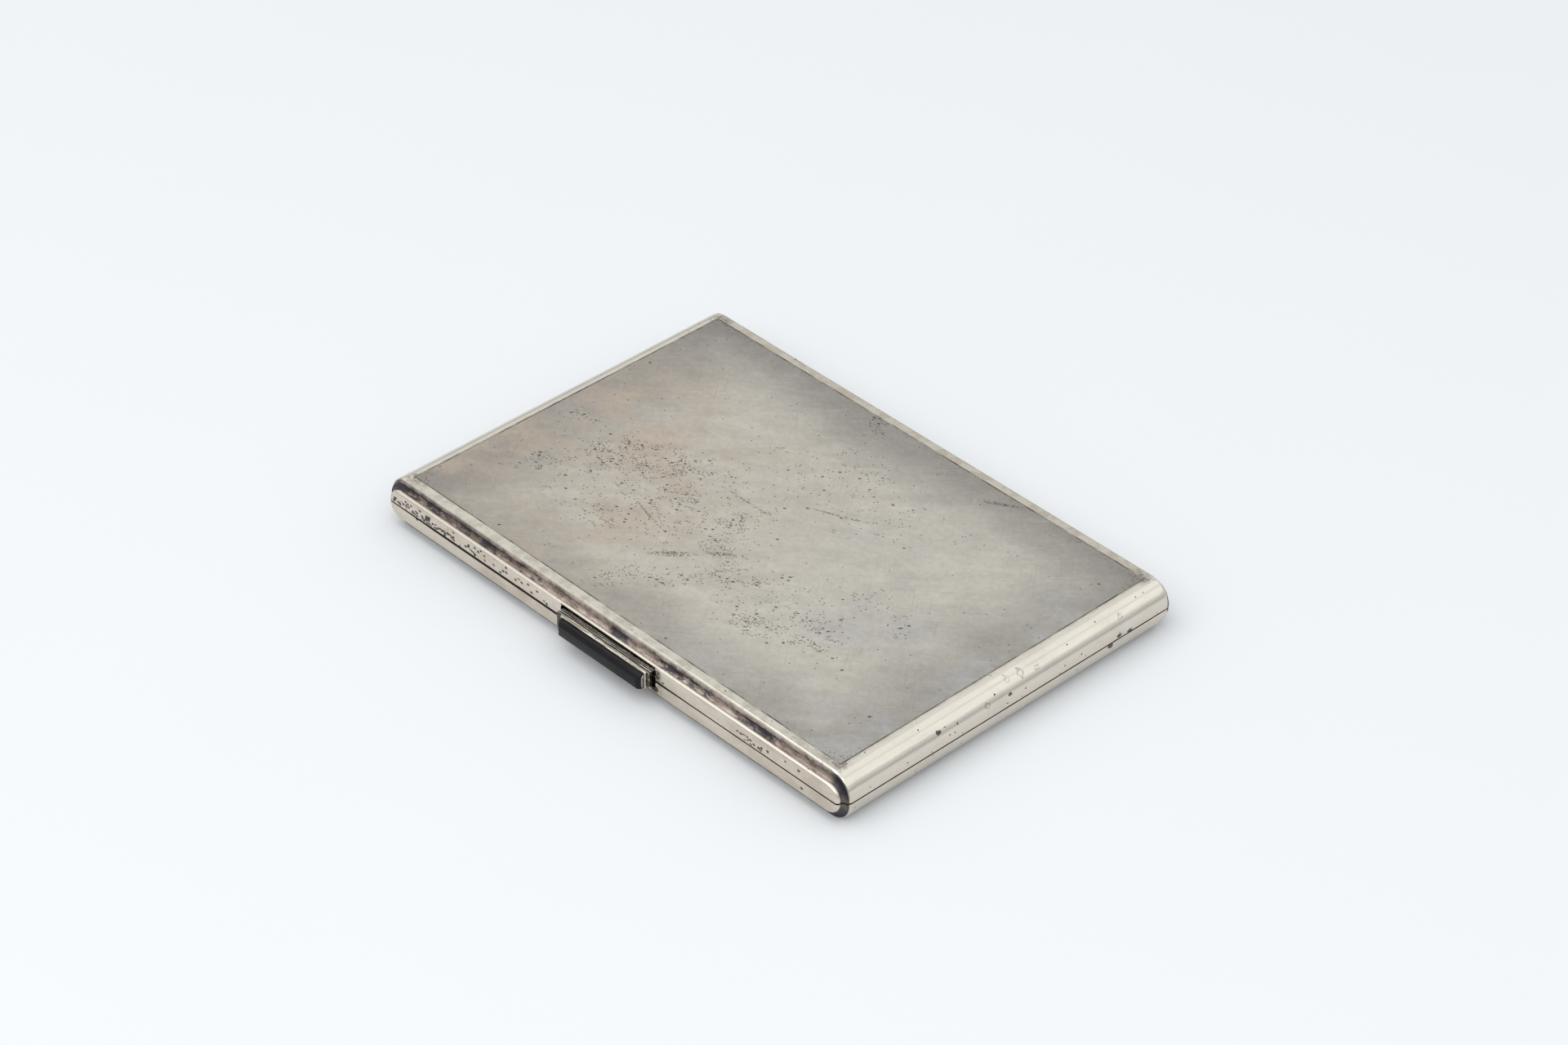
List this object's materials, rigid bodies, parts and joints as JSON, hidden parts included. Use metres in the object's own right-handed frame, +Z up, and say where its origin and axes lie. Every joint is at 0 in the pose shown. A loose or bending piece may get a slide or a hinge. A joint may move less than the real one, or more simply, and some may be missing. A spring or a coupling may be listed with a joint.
{
  "type": "business card case",
  "caption": "Slim metal business card case with rounded ends and raised side bands; lid hinged along the back, push thumbpiece with a dark bar at the front, sprung card clip inside.",
  "frame": {"origin": "centre of the flat underside between the rounded ends and the side bands", "axes": "+X along the case's length, +Y towards the hinge at the back, +Z up through the lid"},
  "size_m": [0.095, 0.0695, 0.0081],
  "materials": {
    "silver": "tarnished silver, fine scratches and pits",
    "band_silver": "worn silver with dark oxide in the cove",
    "thumb_silver": "polished silver, dark in the grooves",
    "gilt": "worn gilding",
    "onyx": "polished black onyx",
    "spring_metal": "blued spring steel"
  },
  "bodies": {
    "base": {"base_cover": "silver", "base_front_band": "band_silver", "base_back_band": "band_silver", "base_inner_rim": "gilt", "base_knuckles": "band_silver", "hinge_pin": "spring_metal", "hinge_end_caps": "band_silver", "thumb_guide": "gilt", "catch_spring": "spring_metal", "spring_rivets": "gilt"},
    "lid": {"lid_cover": "silver", "lid_front_band": "band_silver", "lid_back_band": "band_silver", "lid_knuckles": "band_silver", "catch_keeper": "gilt", "clip_lugs": "gilt", "clip_pin": "gilt", "clip_springs": "spring_metal"},
    "clip": {"card_clip": "gilt"},
    "thumbpiece": {"thumb_carrier": "thumb_silver", "thumb_plate": "thumb_silver", "thumb_claws": "thumb_silver", "onyx_bar": "onyx", "catch_hook": "gilt", "thumb_rivets": "gilt"}
  },
  "joints": [
    {"name": "lid_hinge", "type": "hinge", "parent": "base", "child": "lid", "pos_m": [0, 0.0331, 0.00405], "axis": [-1, 0, 0], "range_deg": [0, 180]},
    {"name": "clip_lift", "type": "hinge", "parent": "lid", "child": "clip", "pos_m": [0, 0.0276, 0.0066], "axis": [1, 0, 0], "range_deg": [0, 5.5], "stiffness_Nm_per_rad": 0.01, "springref_deg": -20.05},
    {"name": "thumb_press", "type": "slide", "parent": "base", "child": "thumbpiece", "axis": [0, 1, 0], "range_m": [0, 0.0008], "stiffness_N_per_m": 400, "deforming": ["catch_spring"]}
  ]
}
